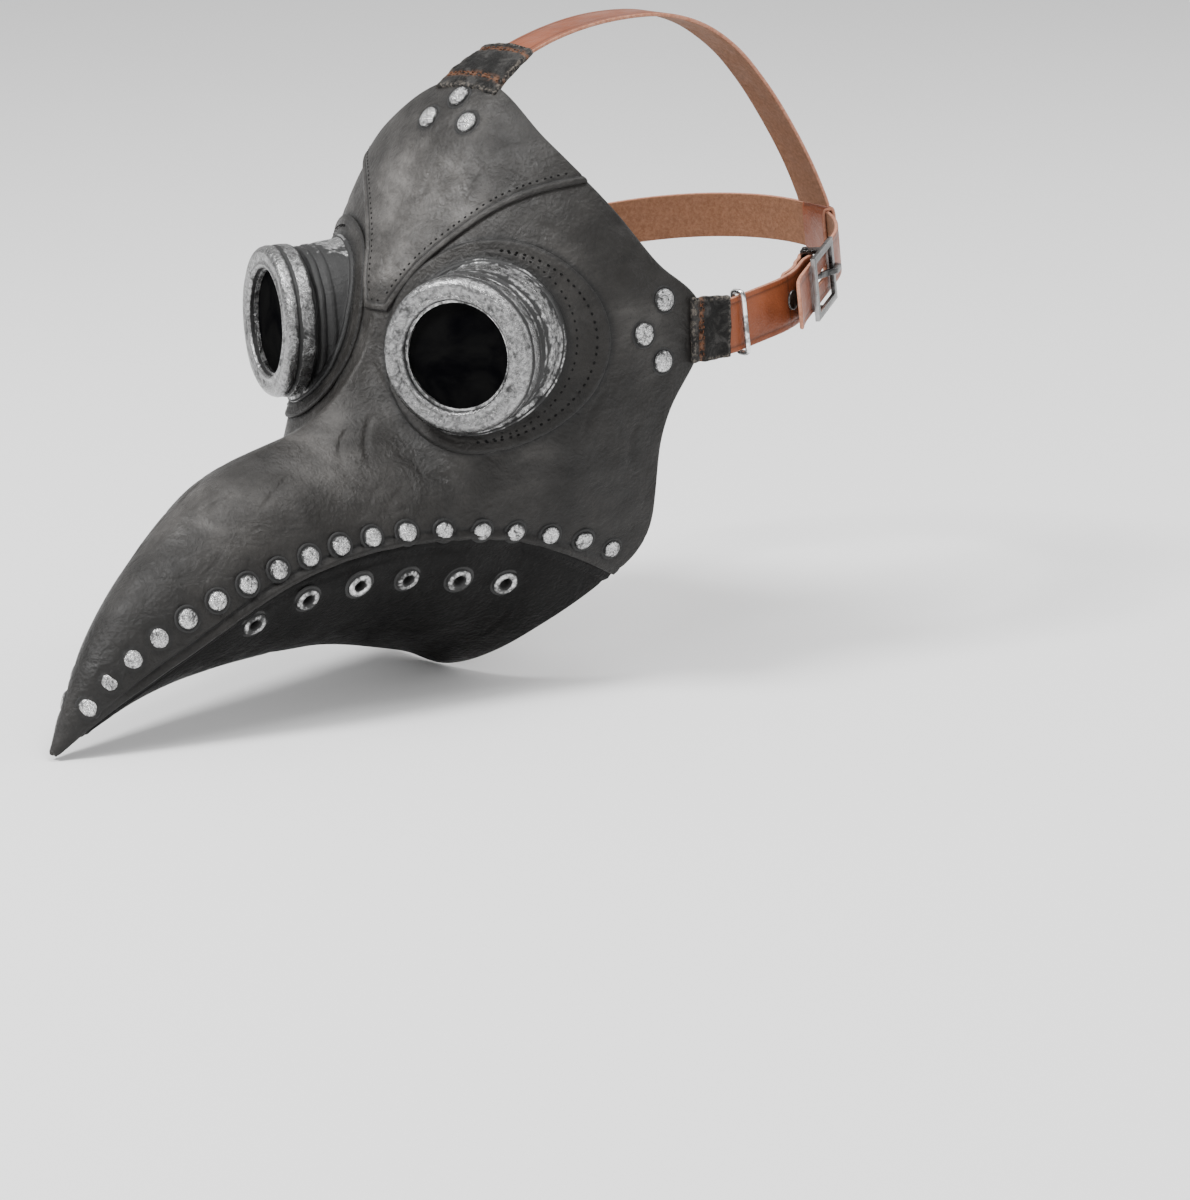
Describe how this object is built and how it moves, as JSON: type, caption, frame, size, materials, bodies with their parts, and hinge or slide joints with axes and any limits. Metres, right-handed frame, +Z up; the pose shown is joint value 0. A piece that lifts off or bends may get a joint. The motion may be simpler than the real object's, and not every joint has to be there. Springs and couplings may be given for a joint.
{
  "type": "plague doctor mask",
  "caption": "Hollow face mask with a long hooked beak, round goggles, studded seams and a buckled leather head harness.",
  "frame": {"origin": "centre of the wearer's head, on the middle plane, level with the centres of the goggles", "axes": "+Z up, -Y forward along the beak, +X to the wearer's left"},
  "size_m": [0.1898, 0.3797, 0.2382],
  "materials": {
    "shell_leather": "satin, burnished",
    "jaw_leather": "satin, dark",
    "tab_leather": "rough",
    "strap_leather": "smooth, waxed",
    "goggle_metal": "aged, scuffed",
    "stud_metal": "worn bright",
    "buckle_metal": "dark nickel",
    "lens_glass": "tinted dark"
  },
  "bodies": {
    "mask": {"upper_shell": "shell_leather", "lower_beak": "jaw_leather", "brow_panel": "shell_leather", "forehead_tab": "tab_leather", "brow_studs": "stud_metal", "rear_strap": "strap_leather", "crown_strap": "strap_leather", "crown_loop": "strap_leather", "left_eye_patch": "shell_leather", "right_eye_patch": "shell_leather", "left_temple_tab": "tab_leather", "right_temple_tab": "tab_leather", "left_goggle_bezel": "goggle_metal", "right_goggle_bezel": "goggle_metal", "left_lens_retainer": "goggle_metal", "right_lens_retainer": "goggle_metal", "left_lens": "lens_glass", "right_lens": "lens_glass", "left_goggle_barrel": "goggle_metal", "right_goggle_barrel": "goggle_metal", "left_goggle_clamp_ring": "goggle_metal", "right_goggle_clamp_ring": "goggle_metal", "left_beak_studs": "stud_metal", "right_beak_studs": "stud_metal", "left_eyelets": "stud_metal", "right_eyelets": "stud_metal", "left_temple_studs": "stud_metal", "right_temple_studs": "stud_metal", "left_buckle_strap": "strap_leather", "right_buckle_strap": "strap_leather", "left_fold_rivet": "buckle_metal", "right_fold_rivet": "buckle_metal"},
    "left_buckle": {"left_buckle_frame": "buckle_metal"},
    "left_prong": {"left_buckle_tongue": "buckle_metal"},
    "left_keeper": {"left_keeper_ring": "buckle_metal"},
    "left_tail": {"left_strap_tail": "strap_leather"},
    "right_buckle": {"right_buckle_frame": "buckle_metal"},
    "right_prong": {"right_buckle_tongue": "buckle_metal"},
    "right_keeper": {"right_keeper_ring": "buckle_metal"},
    "right_tail": {"right_strap_tail": "strap_leather"}
  },
  "joints": [
    {"name": "left_buckle_pivot", "type": "hinge", "parent": "mask", "child": "left_buckle", "pos_m": [0.07012, 0.04547, 0.01054], "axis": [0, 0.1478, -0.989], "range_deg": [-2.5, 2.5]},
    {"name": "left_prong_pivot", "type": "hinge", "parent": "left_buckle", "child": "left_prong", "pos_m": [0.07012, 0.04547, 0.01054], "axis": [0, 0.1478, -0.989], "range_deg": [0, 85]},
    {"name": "left_keeper_slide", "type": "slide", "parent": "mask", "child": "left_keeper", "axis": [0, 0.989, 0.1478], "range_m": [-0.003, 0.014]},
    {"name": "left_tail_flap", "type": "hinge", "parent": "mask", "child": "left_tail", "pos_m": [0.08094, 0.03333, 0.00872], "axis": [0, -0.1478, 0.989], "range_deg": [-4, 40], "stiffness_Nm_per_rad": 0.002},
    {"name": "right_buckle_pivot", "type": "hinge", "parent": "mask", "child": "right_buckle", "pos_m": [-0.07012, 0.04547, 0.01054], "axis": [0, -0.1478, 0.989], "range_deg": [-2.5, 2.5]},
    {"name": "right_prong_pivot", "type": "hinge", "parent": "right_buckle", "child": "right_prong", "pos_m": [-0.07012, 0.04547, 0.01054], "axis": [0, -0.1478, 0.989], "range_deg": [0, 85]},
    {"name": "right_keeper_slide", "type": "slide", "parent": "mask", "child": "right_keeper", "axis": [0, 0.989, 0.1478], "range_m": [-0.003, 0.014]},
    {"name": "right_tail_flap", "type": "hinge", "parent": "mask", "child": "right_tail", "pos_m": [-0.08094, 0.03333, 0.00872], "axis": [0, 0.1478, -0.989], "range_deg": [-4, 40], "stiffness_Nm_per_rad": 0.002}
  ]
}
